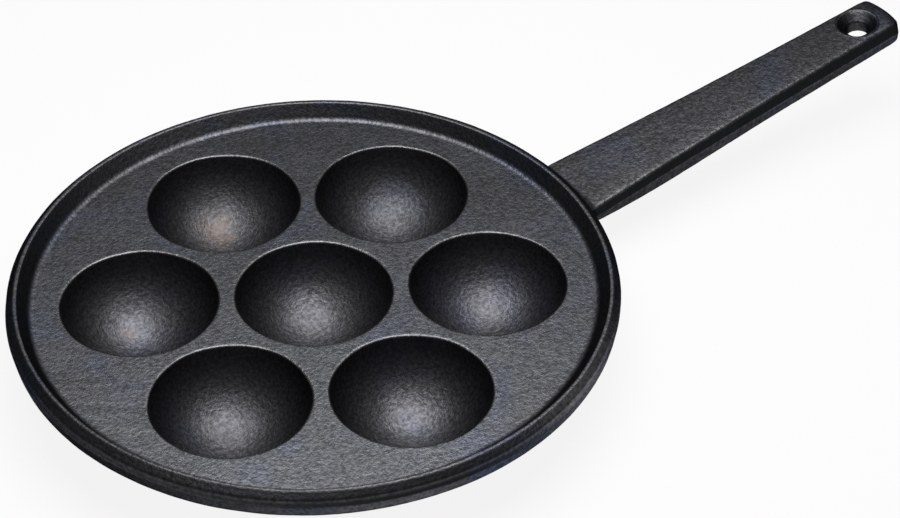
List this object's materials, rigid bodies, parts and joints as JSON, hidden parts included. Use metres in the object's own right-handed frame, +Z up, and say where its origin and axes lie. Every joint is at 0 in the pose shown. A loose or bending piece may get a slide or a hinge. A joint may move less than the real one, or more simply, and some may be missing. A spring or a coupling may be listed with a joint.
{
  "type": "aebleskiver pan",
  "caption": "Round cast-iron stovetop pan: deep rounded wells in a flat plate, a low sloping rim and a straight rising handle with a hanging hole.",
  "frame": {"origin": "on the axis of the round pan, at the plane the feet of the wells stand on", "axes": "+Z up out of the wells, +X along the handle"},
  "size_m": [0.3948, 0.229, 0.045],
  "materials": {
    "iron": "seasoned, fine sand grain, satin"
  },
  "bodies": {
    "root": {"plate": "iron", "rim": "iron", "handle": "iron", "well_centre": "iron", "well_outer_1": "iron", "well_outer_2": "iron", "well_outer_3": "iron", "well_outer_4": "iron", "well_outer_5": "iron", "well_outer_6": "iron"}
  },
  "joints": []
}
